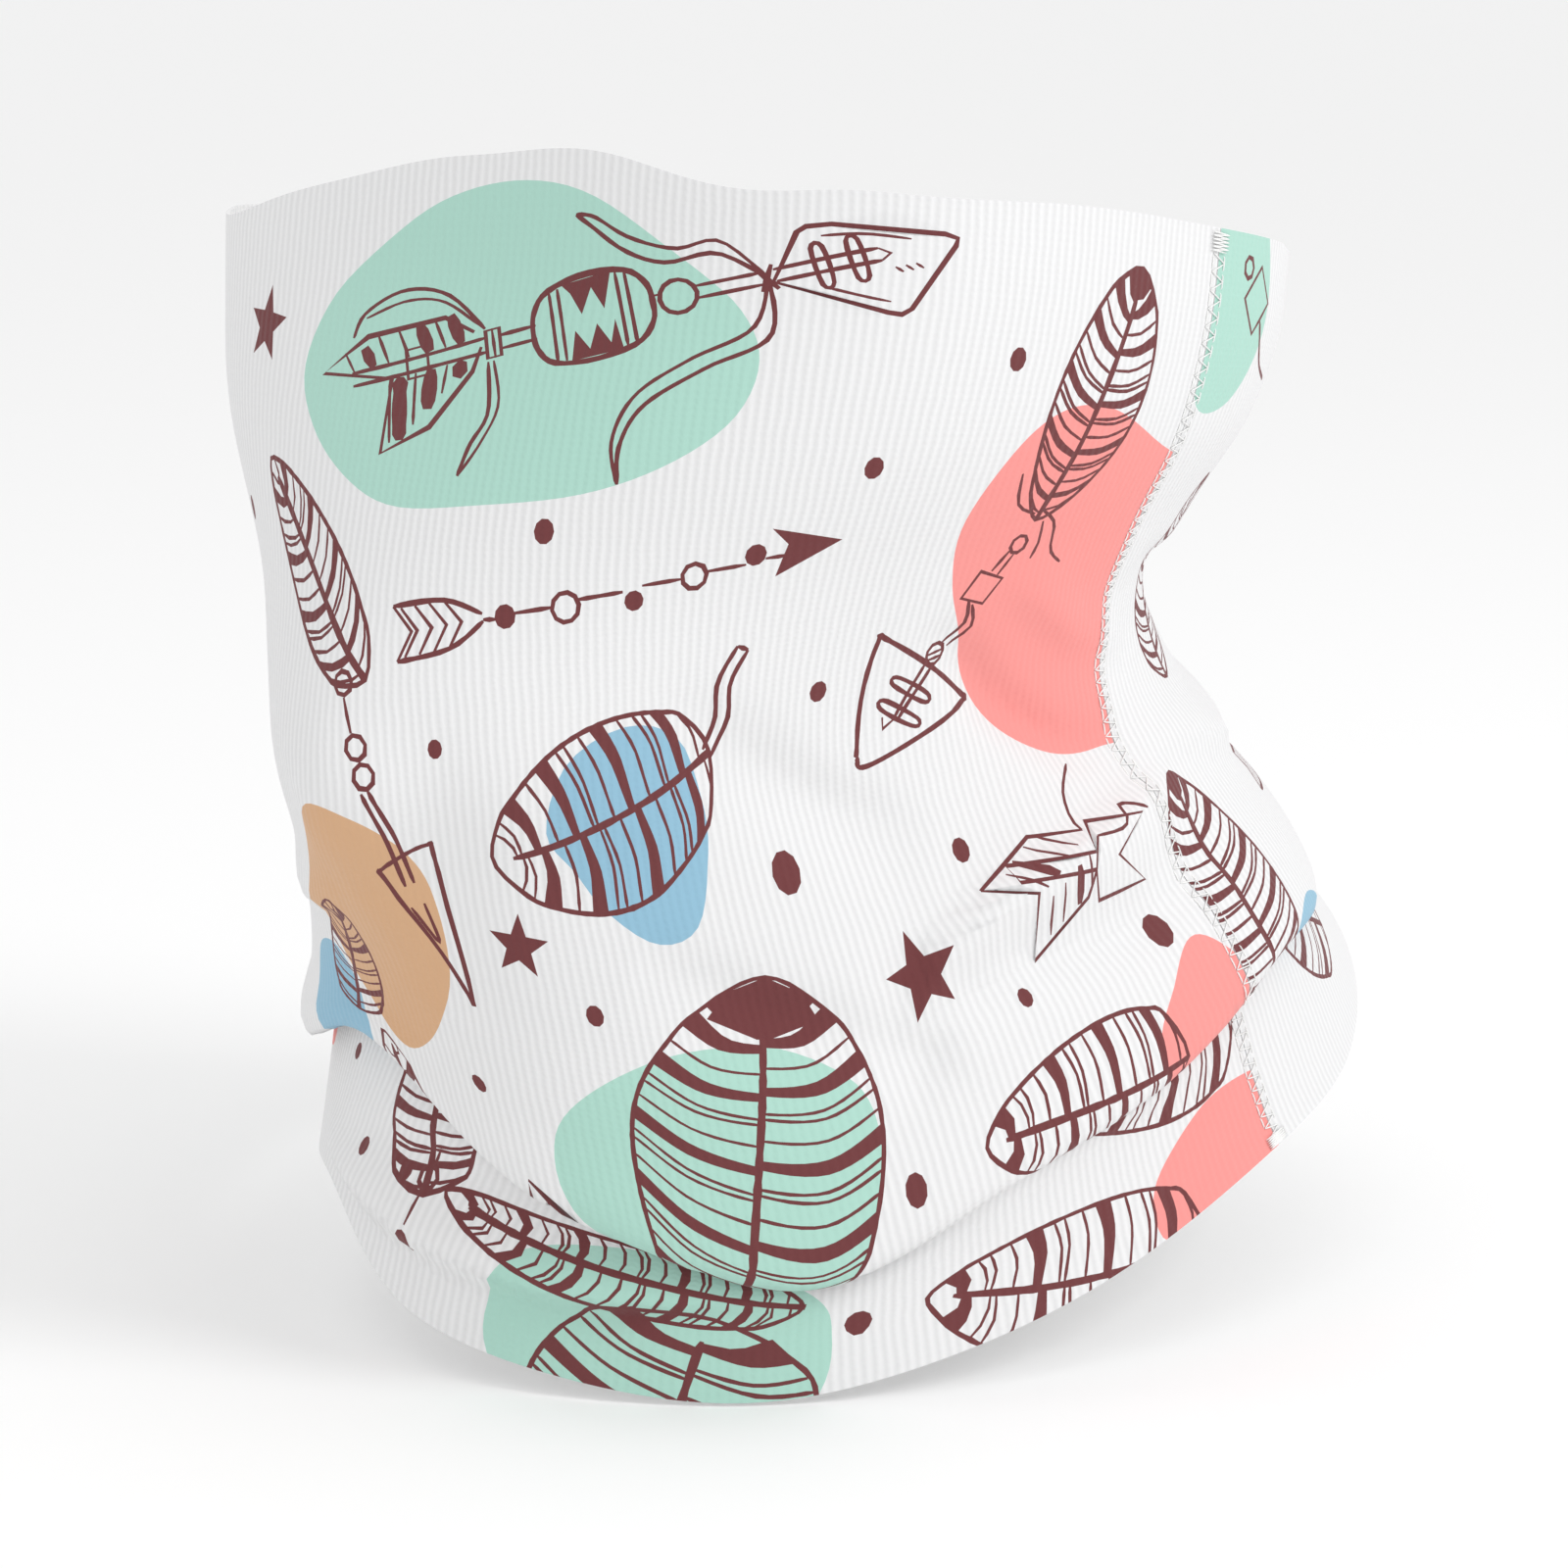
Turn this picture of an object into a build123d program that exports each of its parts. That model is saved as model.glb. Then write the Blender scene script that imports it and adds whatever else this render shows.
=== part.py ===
from build123d import *
import math
import os

os.makedirs("parts", exist_ok=True)

# Neck gaiter: one printed knit panel closed into a tube by a single flat seam,
# held here in the shape it takes on a head. Millimetres. +Z is up, the wearer
# faces -Y, +X is the wearer's left. The origin is the centre of the neck
# passage, the narrowest section, where the wearer's neck holds the tube.

# Driving dimensions
rim_height = 89.0           # centre of the face opening above the neck passage
hem_depth = 61.0            # centre line of the lower opening below the neck passage
cloth_thickness = 0.8       # double knit polyester
rim_half_width = 83.0
neck_half_width = 65.0
hem_half_width = 83.0
chin_reach = 112.0          # neck passage centre to the point of the chin

# Seam: the panel's two cut edges butt together and a flat stitch bridges them
seam_angle = 94.0           # round from the front, on the wearer's left
needle_spacing = 4.4        # between the two needle thread lines
thread_thickness = 0.25     # thread standing on the cloth
needle_thread_width = 0.5
seam_margin = 3.0           # seam thread ends to the cut rim and hem
tack_height = 2.5           # bar tack along the seam
tack_overlap = 0.8          # bar tack beyond each needle line
tack_thickness = 0.4
tack_clearance = 0.15       # bar tack to the ends of the seam threads

# Space the cutting solids need beyond the tube on every side
reach = 200.0


def section_plane(height, back, side, drop_front, drop_left):
    """Plane of one section: drop_front and drop_left tilt it down, in degrees."""
    rise_y = math.tan(math.radians(drop_front))
    rise_x = -math.tan(math.radians(drop_left))
    centre = (side, back, height + back * rise_y + side * rise_x)
    return Plane(origin=centre, x_dir=(1, 0, rise_x), z_dir=(-rise_x, -rise_y, 1))


def outline(half_width, front, rear, fullness, rear_fullness):
    """Points round one section, from the front centre towards the wearer's left.

    A fullness is 2 for an ellipse, more for a flat broad end, less for a pointed one.
    """
    count = 24
    points = []
    for index in range(count):
        angle = math.radians(360.0 * index / count)
        across, along = math.sin(angle), math.cos(angle)
        front_share = min(max(0.5 + along, 0.0), 1.0)
        power = 2.0 / (rear_fullness + (fullness - rear_fullness) * front_share)
        depth = front if along > 0 else rear
        x = math.copysign(abs(across) ** power, across) * half_width
        y = -math.copysign(abs(along) ** power, along) * depth
        points.append((x, y))
    return points


# Sections from the rim down to the hem:
# height, set back, set left, front tilt, left tilt, half width, front, rear,
# fullness at the front, fullness at the rear
sections = [
    (rim_height, 0, 0, -8, -1, rim_half_width, 70, 94, 3.2, 2.2),
    (rim_height * 0.83, 0, 0, -6, -1, rim_half_width - 1, 74, 91, 3.0, 2.2),
    (rim_height * 0.65, 0, 0, -2, 0, rim_half_width - 4, 84, 82, 2.5, 2.2),
    (rim_height * 0.46, 0, 1, 3, 0, neck_half_width + 6, chin_reach - 15, 69, 1.9, 2.2),
    (rim_height * 0.28, 0, 3, 8, 0, neck_half_width, chin_reach, 58, 1.6, 2.2),
    (rim_height * 0.10, 1, 3, 11, 0, neck_half_width + 2, chin_reach - 10, 63, 1.65, 2.2),
    (-hem_depth * 0.12, 6, 3, 13, 3, neck_half_width + 8, 97, 70, 1.8, 2.2),
    (-hem_depth * 0.40, 13, 4, 14, 6, hem_half_width - 3, 100, 79, 1.9, 2.2),
    (-hem_depth * 0.70, 18, 4, 15, 8, hem_half_width - 3, 101, 90, 2.0, 2.1),
    (-hem_depth, 23, 4, 15, 10, hem_half_width, 106, 101, 2.0, 2.0),
]


def layer(face, amount):
    """Even layer of material on one side of a face, outwards when amount is positive."""
    with BuildPart() as sheet:
        thicken(face, amount=amount)
    return sheet.part


def seam_slab(near_edge, far_edge):
    """Upright slab over the seam, between two distances across the seam line."""
    seam_plane = Plane.XY.offset(-reach).rotated((0, 0, seam_angle - 90))
    with BuildPart() as slab:
        with BuildSketch(seam_plane):
            with Locations((reach / 2, (near_edge + far_edge) / 2)):
                Rectangle(reach, far_edge - near_edge)
        extrude(amount=2 * reach)
    return slab.part


def end_cut(section, inward):
    """Half space beyond one opening, moved into the tube along its axis."""
    plane = section_plane(*section[:5]).offset(inward)
    with BuildPart() as beyond:
        with BuildSketch(plane):
            Rectangle(4 * reach, 4 * reach)
        extrude(amount=reach if inward < 0 else -reach)
    return beyond.part


# The space the head and neck fill: its side is the outer face of the cloth
with BuildPart() as head_space:
    for section in sections:
        with BuildSketch(section_plane(*section[:5])):
            with BuildLine():
                Spline(*outline(*section[5:]), periodic=True)
            make_face()
    loft()
outer_face = head_space.faces().sort_by(SortBy.AREA)[-1]

# The knit panel, rolled into a tube with its two cut edges butted at the seam
with BuildPart() as knit_tube:
    thicken(outer_face, amount=-cloth_thickness)
knit_tube.part.label = "knit_tube"
export_step(knit_tube.part, "parts/knit_tube.step")
inner_face = knit_tube.faces().sort_by(SortBy.AREA)[-2]

rim, hem = sections[0], sections[-1]
thread_end = seam_margin + tack_height + tack_clearance
needle_line = needle_spacing / 2
needle_edge = needle_line - needle_thread_width / 2
seam_edge = needle_line + needle_thread_width / 2
tack_edge = seam_edge + tack_overlap
outside_thread = layer(outer_face, thread_thickness)
inside_thread = layer(inner_face, thread_thickness)
outside_tack = layer(outer_face, tack_thickness)


def seam_thread(label, material, near_edge, far_edge):
    """Flat run of thread over part of the seam's width, between the two bar tacks."""
    slab = seam_slab(near_edge, far_edge)
    above = end_cut(rim, -thread_end)
    below = end_cut(hem, thread_end)
    with BuildPart() as thread:
        add(material)
        add(slab, mode=Mode.INTERSECT)
        add(above, mode=Mode.SUBTRACT)
        add(below, mode=Mode.SUBTRACT)
    thread.part.label = label
    export_step(thread.part, f"parts/{label}.step")
    return thread.part


def bar_tack(label, opening, inward):
    """Short dense row of stitches across the seam, near one opening."""
    slab = seam_slab(-tack_edge, tack_edge)
    margin = end_cut(opening, inward * seam_margin)
    zone = end_cut(opening, inward * (seam_margin + tack_height))
    with BuildPart() as tack:
        add(outside_tack)
        add(slab, mode=Mode.INTERSECT)
        add(zone, mode=Mode.INTERSECT)
        add(margin, mode=Mode.SUBTRACT)
    tack.part.label = label
    export_step(tack.part, f"parts/{label}.step")
    return tack.part


# Two needle threads run along the outside, one each side of the butted edges
front_needle_thread = seam_thread(
    "seam_needle_thread_front", outside_thread, -seam_edge, -needle_edge)
rear_needle_thread = seam_thread(
    "seam_needle_thread_rear", outside_thread, needle_edge, seam_edge)

# The cover thread zigzags between the needle lines outside, the looper thread inside:
# each is a flat band as wide as its zigzag
cover_thread = seam_thread("seam_cover_thread", outside_thread, -needle_edge, needle_edge)
looper_thread = seam_thread("seam_looper_thread", inside_thread, -seam_edge, seam_edge)

# A bar tack locks each end of the seam
top_bar_tack = bar_tack("top_bar_tack", rim, -1)
bottom_bar_tack = bar_tack("bottom_bar_tack", hem, 1)
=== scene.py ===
import math
import random

import bpy
import numpy as np
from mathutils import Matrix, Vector, geometry


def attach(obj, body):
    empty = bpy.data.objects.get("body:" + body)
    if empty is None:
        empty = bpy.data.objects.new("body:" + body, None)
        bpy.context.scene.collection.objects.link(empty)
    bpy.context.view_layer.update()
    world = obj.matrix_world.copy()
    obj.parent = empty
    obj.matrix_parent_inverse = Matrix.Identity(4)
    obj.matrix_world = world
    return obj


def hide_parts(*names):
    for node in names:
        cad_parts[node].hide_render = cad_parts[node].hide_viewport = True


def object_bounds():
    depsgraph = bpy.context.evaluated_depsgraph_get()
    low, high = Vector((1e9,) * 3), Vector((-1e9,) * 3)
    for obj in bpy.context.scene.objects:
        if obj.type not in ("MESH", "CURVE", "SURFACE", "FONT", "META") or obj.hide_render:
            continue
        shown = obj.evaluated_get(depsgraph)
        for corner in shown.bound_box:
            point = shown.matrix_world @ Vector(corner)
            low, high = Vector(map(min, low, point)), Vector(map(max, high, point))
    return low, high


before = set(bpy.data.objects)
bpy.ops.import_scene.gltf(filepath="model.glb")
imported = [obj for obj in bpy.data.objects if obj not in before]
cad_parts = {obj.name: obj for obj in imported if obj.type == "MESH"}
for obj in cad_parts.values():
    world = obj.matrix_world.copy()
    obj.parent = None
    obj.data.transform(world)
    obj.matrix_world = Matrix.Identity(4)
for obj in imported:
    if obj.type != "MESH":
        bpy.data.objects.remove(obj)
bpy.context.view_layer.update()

# ---------------------------------------------------------------------------
# Knit panel: one piece of fine rib polyester, rolled into a tube and pulled over
# the head. As worn it is boxy at the nose, pointed at the chin and narrow at the
# nape, and its spare length drops into one deep fold above the hem.

NECK_TO_RIM = 89.0          # millimetres up from the neck passage
NECK_TO_HEM = 61.0          # millimetres down from it
CLOTH = 0.7                 # thickness of the knit
GIRTH = 500.0               # the panel's cut width, which becomes the tube's girth
SEAM_ANGLE = 95.0           # where the seam runs, in degrees round from the front

# height, set back, set left, front tilt, left tilt, half width, front, rear,
# fullness of the front, fullness of the rear
SECTIONS = np.array([
    (NECK_TO_RIM, 0, 0, -9, -2, 83, 70, 94, 3.2, 2.2),
    (74, 0, 0, -6, -1, 82, 74, 91, 3.0, 2.2),
    (58, 0, 0, -2, 0, 79, 84, 82, 2.5, 2.2),
    (41, 0, 1, 3, 0, 71, 97, 69, 1.9, 2.2),
    (25, 0, 3, 8, 0, 64, 111, 58, 1.6, 2.2),
    (9, 1, 3, 11, 0, 66, 101, 63, 1.65, 2.2),
    (-7, 6, 3, 13, 3, 72, 97, 69, 1.8, 2.2),
    (-22, 12, 4, 14, 6, 77, 99, 78, 1.9, 2.2),
    (-33, 16, 4, 15, 8, 80.5, 102, 82, 2.0, 2.2),
    (-37, 17, 4, 15, 8, 79.6, 101.4, 82, 2.0, 2.2),
    (-35, 17, 4, 15, 8, 77.8, 99.4, 77, 2.0, 2.2),
    (-26, 16, 4, 15, 8, 75.8, 97.6, 69, 2.0, 2.2),
    (-24, 16, 4, 15, 8, 74.4, 96.2, 67, 2.0, 2.2),
    (-30, 17, 4, 15, 8, 74.8, 96.2, 70.5, 2.0, 2.2),
    (-45, 20, 4, 15, 9, 78.5, 100, 88, 2.0, 2.1),
    (-NECK_TO_HEM, 24, 4, 15, 10, 82, 106, 104, 2.0, 1.9),
])
FOLD_FROM, FOLD_TO, HEM_AT = 8, 13, 15      # sections of the fold's lip, its tuck and the hem
FADE_ABOVE, FADE_BELOW = 3, 1.5             # sections over which the fold's own bumps fade out

# height of each bump, its middle and its spread in degrees. The rim peaks over
# the nose. The fold hangs high at the right of the chin and low at the left of
# it. The hem lifts at the right of the chin and at the left shoulder.
RIM_BUMPS = (3.6, 5, 10), (-5.5, -38, 24), (-2.4, 27, 13), (-2.0, 55, 20), (1.5, 128, 40)
FOLD_BUMPS = (20.0, -12, 20), (-11.0, 43, 17), (7.0, 103, 17)
HEM_BUMPS = (8.0, -27, 12), (5.5, 92, 22), (-3.0, 35, 18)


def catmull(table, at):
    """Rows of a table read between its whole steps along a smooth curve."""
    last = len(table) - 1
    step = np.clip(np.floor(at).astype(int), 0, last - 1)
    t = (at - step)[:, None]
    a, b, c, d = [table[np.clip(step + k, 0, last)] for k in (-1, 0, 1, 2)]
    return 0.5 * (2 * b + (c - a) * t + (2 * a - 5 * b + 4 * c - d) * t**2
                  + (3 * b - a - 3 * c + d) * t**3)


def swell(angle, bumps):
    """Sum of smooth bumps round the tube."""
    total = 0.0
    for height, middle, spread in bumps:
        turn = (angle - middle + 180.0) % 360.0 - 180.0
        total = total + height * np.exp(-(turn / spread)**2)
    return total


def section_point(section, angle, at):
    """Points of the worn shape: section values by row, angle in degrees from the front."""
    height, back, left, tip_front, tip_left, wide, front, rear, full, full_rear = section.T
    across, along = np.sin(np.radians(angle)), np.cos(np.radians(angle))
    front_share = np.clip(0.5 + along, 0.0, 1.0)
    power = 2.0 / (full_rear + (full - full_rear) * front_share)
    x = left + wide * np.sign(across) * np.abs(across)**power
    y = back - np.where(along > 0, front, rear) * np.sign(along) * np.abs(along)**power
    z = height + y * np.tan(np.radians(tip_front)) - x * np.tan(np.radians(tip_left))
    at_rim = np.clip(1.0 - at, 0.0, 1.0)
    above, below = (at - FOLD_FROM + FADE_ABOVE) / FADE_ABOVE, (FOLD_TO + FADE_BELOW - at) / FADE_BELOW
    in_fold = np.clip(np.minimum(above, below), 0.0, 1.0)
    at_hem = np.clip(at - HEM_AT + 1, 0.0, 1.0)
    z = z + at_rim * swell(angle, RIM_BUMPS)
    z = z + in_fold * swell(angle, FOLD_BUMPS)
    z = z + at_hem * swell(angle, HEM_BUMPS)
    return np.stack([x, y, z], -1)


# A grid of the shape by section and angle, then even steps along each ring from
# the seam, so that the ribs of the knit run down the cloth
RINGS, ROUND = 301, 720
MEASURED = slice(None, None, 6)     # the length is measured down every sixth column
ring_at = np.linspace(0.0, len(SECTIONS) - 1, RINGS)
turn_at = SEAM_ANGLE + np.linspace(0.0, 360.0, ROUND + 1)
ring_rows = catmull(SECTIONS, ring_at)
shape = np.stack([
    section_point(np.repeat(row[None], ROUND + 1, 0), turn_at, np.full(ROUND + 1, at))
    for row, at in zip(ring_rows, ring_at)])
even = np.linspace(0.0, 1.0, ROUND + 1)
for ring in shape:
    walked = np.concatenate([[0.0], np.cumsum(np.linalg.norm(np.diff(ring, axis=0), axis=1))])
    ring[:] = np.stack([np.interp(even, walked / walked[-1], ring[:, k]) for k in range(3)], -1)
ring_gap = np.linalg.norm(np.diff(shape, axis=0), axis=2)[:, MEASURED].mean(1)
ring_length = np.concatenate([[0.0], np.cumsum(ring_gap)])
LENGTH = float(ring_length[-1])     # the panel's cut length, rim to hem


# Soft creases of the worn cloth: the path of each, round from the seam and down
# from the rim, how far it stands out, and how quickly it fades above and below
CREASES = [
    ([(322, 198), (345, 196), (380, 195), (416, 191)], 4.0, 7, 1.2),
    ([(326, 189), (353, 182), (367, 180), (388, 181)], 1.0, 6, 2.0),
    ([(430, 182), (460, 180), (492, 181)], 1.8, 7, 1.8),
    ([(512, 108), (480, 109), (462, 110), (448, 114), (438, 123)], 5.5, 9, 2.2),
    ([(515, 122), (486, 123), (460, 119), (444, 121), (434, 130)], -3.8, 4, 8.0),
    ([(408, 70), (425, 83), (440, 94), (452, 101)], -2.4, 5, 9.0),
    ([(398, 106), (412, 112), (426, 118), (442, 128)], -2.2, 4, 8.0),
    ([(455, 64), (470, 80), (486, 94), (504, 101)], -2.8, 4, 5.0),
    ([(470, 56), (490, 74), (510, 82)], 1.8, 6, 4.0),
    ([(366, 66), (370, 90), (366, 118)], -2.4, 9, 9.0),
    ([(312, 66), (330, 80), (345, 84)], -2.0, 5, 7.0),
    ([(310, 96), (330, 102), (348, 98)], 2.2, 7, 4.0),
    ([(8, 62), (38, 74), (70, 70)], -2.0, 5, 7.0),
    ([(4, 100), (40, 112), (86, 104)], 2.4, 8, 3.0),
    ([(110, 84), (150, 96), (200, 88)], -2.4, 6, 8.0),
    ([(120, 104), (170, 112), (230, 102)], 2.4, 9, 4.0),
    ([(215, 80), (255, 92), (296, 84)], 2.0, 7, 4.0),
    ([(240, 108), (280, 114), (318, 106)], 2.0, 8, 4.0),
    ([(60, 184), (110, 180), (160, 185)], 1.8, 8, 2.5),
    ([(190, 182), (240, 187), (290, 182)], 1.8, 8, 2.5),
]


def crease(path, height, above, below):
    """How far one crease moves each point of the grid out of the cloth."""
    path = np.array(path, float)
    far = np.full(grid_u.shape, 1e9)
    side, share = np.zeros_like(far), np.zeros_like(far)
    steps = len(path) - 1
    for shift in (-GIRTH, 0.0, GIRTH):
        for k in range(steps):
            run = path[k + 1] - path[k]
            u, v = grid_u - shift - path[k][0], grid_v - path[k][1]
            t = np.clip((u * run[0] + v * run[1]) / (run @ run), 0.0, 1.0)
            du, dv = u - t * run[0], v - t * run[1]
            away = np.hypot(du, dv)
            nearer = away < far
            far = np.where(nearer, away, far)
            side = np.where(nearer, run[0] * dv - run[1] * du, side)
            share = np.where(nearer, (k + t) / steps, share)
    fade = np.where(side > 0, below, above)
    return height * np.exp(-(far / fade)**2) * np.sin(np.pi * share)**0.8


def facing():
    """Unit vectors out of the cloth at each point of the grid."""
    round_it = np.gradient(np.concatenate([shape[:, -2:-1], shape, shape[:, 1:2]], 1), axis=1)[:, 1:-1]
    out = np.cross(np.gradient(shape, axis=0), round_it)
    return out / np.linalg.norm(out, axis=2, keepdims=True)


grid_u, grid_v = np.meshgrid(even * GIRTH, ring_length)
shape += facing() * sum(crease(*row) for row in CREASES)[..., None]
outward = facing()


def on_shape(around, down, grid=shape):
    """Points of a grid of the worn shape at cloth places: round from the seam and down from the rim."""
    row = np.interp(down, ring_length, np.arange(RINGS))
    column = np.asarray(around, float) % (GIRTH + 1e-9) / GIRTH * ROUND
    r0 = np.clip(row.astype(int), 0, RINGS - 2)
    c0 = np.clip(column.astype(int), 0, ROUND - 1)
    fr, fc = (row - r0)[:, None], (column - c0)[:, None]
    upper = grid[r0, c0] * (1 - fc) + grid[r0, c0 + 1] * fc
    lower = grid[r0 + 1, c0] * (1 - fc) + grid[r0 + 1, c0 + 1] * fc
    return upper * (1 - fr) + lower * fr


# The print of the panel: brown line drawings over flat spots of colour, dyed
# into its outer face before it was cut and sewn, so that the seam cuts through
# them. Places are millimetres round from the seam and down from the rim.

CLOTH_WHITE, PEACH, BLUE, PINK, MINT, INK = range(6)
PRINT_START = 5.5           # how far round from the seam the roll's print starts
TENTH, EIGHTH = 0.6283, 0.7854      # radians in those parts of a turn
PEN_HALF, PEN_END = 0.53, 0.55      # half an ink line's width as it bleeds, and how thin its ends are
PEN_WOBBLE = 0.85, 1.15
BARS_FROM, BARS_SPAN = 0.03, 0.92   # where the bars of a leaf start along it, and the share they take
drawn = []                  # colour and outline of each printed shape
rng = random.Random(7)


def smooth(points, ring=False, step=1.4):
    """A smooth path through the given points, closed if it is a ring."""
    table = np.array(points, float)
    if ring:
        table = np.concatenate([table[-1:], table, table[:2]])
    length = np.linalg.norm(np.diff(table, axis=0), axis=1).sum()
    count = max(3, int(length / step))
    if ring:
        return catmull(table, np.linspace(1.0, len(table) - 2.0, count))
    return catmull(table, np.linspace(0.0, len(table) - 1.0, count))


def spot(points, colour):
    """A flat spot of colour with a soft hand-cut outline."""
    drawn.append((colour, smooth(points, ring=True, step=2.5)[:-1]))


class Motif:
    """A drawing on the cloth. Its x runs from start to end, and its y to the right of that.

    squeeze is the length of flat cloth in a worn millimetre down the tube, which is
    less than one where the cloth bulges under the chin.
    """

    def __init__(self, start, end, squeeze=1.0):
        run = (end[0] - start[0], (end[1] - start[1]) / squeeze)
        self.length = math.hypot(*run)
        self.start, self.squeeze = start, squeeze
        self.ahead = (run[0] / self.length, run[1] / self.length)

    def fill(self, points):
        a, b = self.ahead
        drawn.append((INK, [(self.start[0] + x * a - y * b, self.start[1] + (x * b + y * a) * self.squeeze)
                            for x, y in points]))

    def line(self, points, width=0.7, ring=False, sharp=False):
        """An ink line through the points, a little thinner at its ends and uneven as a pen leaves it."""
        path = np.array(points, float) if sharp else smooth(points, ring)
        if ring and sharp:
            path = np.concatenate([path, path[:1]])
        ahead = np.gradient(path, axis=0)
        if ring:
            ahead[0] = ahead[-1] = (path[1] - path[0]) + (path[-1] - path[-2])
        ahead /= np.linalg.norm(ahead, axis=1)[:, None] + 1e-9
        across = np.stack([-ahead[:, 1], ahead[:, 0]], 1)
        half = np.full(len(path), width * PEN_HALF)
        half *= [rng.uniform(*PEN_WOBBLE) for _ in half]
        if ring:
            half[-1] = half[0]
        else:
            half[0] *= PEN_END
            half[-1] *= PEN_END
        one, other = path + across * half[:, None], path - across * half[:, None]
        for k in range(len(path) - 1):
            self.fill([one[k], one[k + 1], other[k + 1], other[k]])

    def blob(self, x, y, radius, tall=1.0):
        self.fill([(x + radius * math.cos(t * TENTH), y + radius * tall * math.sin(t * TENTH))
                   for t in range(10)])

    def bead(self, x, y, radius):
        self.line([(x + radius * math.cos(t * EIGHTH), y + radius * math.sin(t * EIGHTH))
                   for t in range(8)], ring=True)

    def fletch(self):
        """The fletching of a thin arrow: its notch, its two edges and four chevrons."""
        self.line([(0, -3.6), (3, 0), (0, 3.6)], sharp=True)
        self.line([(0, -3.6), (9, -3.2), (15, -0.5)])
        self.line([(0, 3.6), (9, 3.2), (15, 0.5)])
        for x in (4, 6.5, 9, 11.5):
            self.line([(x - 2.6, -3.2), (x, 0), (x - 2.6, 3.2)], 0.7, sharp=True)


def dot(u, v, size):
    Motif((u, v), (u + 1, v)).blob(0, 0, size, tall=1.1)


def star(u, v, size, turn):
    corners = [(size * (1.0 if k % 2 == 0 else 0.42), math.radians(turn + 36 * k)) for k in range(10)]
    Motif((u, v), (u + 1, v)).fill([(r * math.cos(a), r * math.sin(a)) for r, a in corners])


def leaf(start, end, wide, bars, slant, round_end, squeeze=1.0, bend=0.0, stem=0.0, blunt=0.6):
    """A leaf or feather, base to tip. In bars, # is a solid bar, = a pair of lines and | one line."""
    m = Motif(start, end, squeeze)
    long = m.length

    def edge(t, side):
        t = min(max(t, 0.0), 1.0)
        half = wide / 2 * math.sin(math.pi * t**round_end)**blunt
        return (t * long, side * half + bend * 4 * t * (1 - t))

    def rib(t):
        return (t * long, bend * 4 * t * (1 - t))

    steps = [k / 12 for k in range(13)]
    m.line([edge(t, 1) for t in steps] + [edge(t, -1) for t in steps[-2:0:-1]], ring=True)
    m.line([rib(-stem / long)] + [rib(t) for t in steps[:-1]], 1.1)
    for side in (-1, 1):
        for k, mark in enumerate(bars):
            t = BARS_FROM + BARS_SPAN * (k + (0.25 if side > 0 else 0.0)) / len(bars)
            out = min(t + slant, 0.985)

            def across(shift):
                root, tip = rib(t + shift * 0.5), edge(out + shift, side)
                middle = (root[0] * 0.5 + tip[0] * 0.5 - 0.02 * long, root[1] * 0.45 + tip[1] * 0.55)
                return [root, middle, tip]

            gap = BARS_SPAN / len(bars)
            if mark == "#":
                near, far = across(-gap * 0.3), across(gap * 0.42)
                m.fill(smooth(near).tolist() + smooth(far)[::-1].tolist())
            elif mark == "=":
                m.line(across(-gap * 0.22), 0.5)
                m.line(across(gap * 0.22), 0.5)
            elif mark == "|":
                m.line(across(0.0), 0.5)
    return m


# The long arrow over the nose, on its mint spot
spot([(332, 25), (337, 15), (350, 7), (362, 3.5), (374, 3), (387, 5), (400, 10), (409, 16), (412, 22),
      (409, 29), (400, 35), (388, 39), (372, 41), (356, 42), (345, 39), (336, 33)], MINT)
m = Motif((351, 25), (440, 5), squeeze=0.7)
m.line([(0, 1.5), (-14, -3), (-4, -7.5), (11, -7), (16, -3)], 1.0, sharp=True)
m.line([(0, 1.5), (-4, 14.5), (6, 12), (15, 4), (17, 0)], 1.0, sharp=True)
for x in (-9, -5, -2, 2, 6, 9, 12):
    m.line([(x, -5.6 if x < -4 else -7.2), (x + 1.5, -1.6)], 2.6 if x in (-5, 6, 12) else 0.6)
for x in (-2, 0, 3, 6, 9, 12):
    m.line([(x, 13 - max(x, 0) * 0.72), (x + 1.5, 1.6)], 2.6 if x in (0, 6, 12) else 0.6)
m.line([(-8, -1.4), (0, -1.2), (8, -1.2), (18, -1.4)])
m.line([(-8, 1.0), (0, 1.2), (8, 1.2), (18, 1.2)])
m.line([(3, -3), (7, -3), (7, 2.4), (3, 2.4)], ring=True, sharp=True)
m.line([(18, -2.6), (20.5, -2.6), (20.5, 2.4), (18, 2.4)], ring=True, sharp=True)
m.line([(19.2, -2.8), (19.4, 2.6)], 0.6)
m.line([(18, -3), (12, -11), (4, -14), (-4, -12), (-7, -8)])
m.line([(17, -4), (11, -10), (4, -12), (-4, -11)], 0.5)
m.line([(18, 3), (17, 12), (13, 17), (10, 22)])
m.line([(19, 3), (19, 11), (15, 17), (10, 22)], 0.5)
m.line([(20.5, -1.2), (27, -1.2)])
m.line([(20.5, 1.2), (27, 1.2)])
m.line([(27, -3.5), (29.5, -6.3), (36, -7.2), (43, -6.3), (46, -3.5), (46.5, 0), (46, 3.2), (43, 6.2),
        (36, 7.2), (29.5, 6.2), (27, 3.4), (26.4, 0)], 0.9, ring=True)
for x in (30, 31.5, 41.5, 43):
    m.line([(x, -6.3), (x, 6.3)], 0.6)
m.fill([(32.3, -6.6), (40.8, -6.6), (38.8, -1), (37.2, -5), (35, -1), (33.6, -5)])
m.fill([(32.3, 6.6), (33.5, 1.5), (35.5, 5.2), (37.2, 1.2), (39, 5), (40.2, 1.2), (40.8, 6.6)])
m.bead(50.5, 0, 2.9)
m.line([(46.5, -1), (47.6, -1)], sharp=True)
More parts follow.
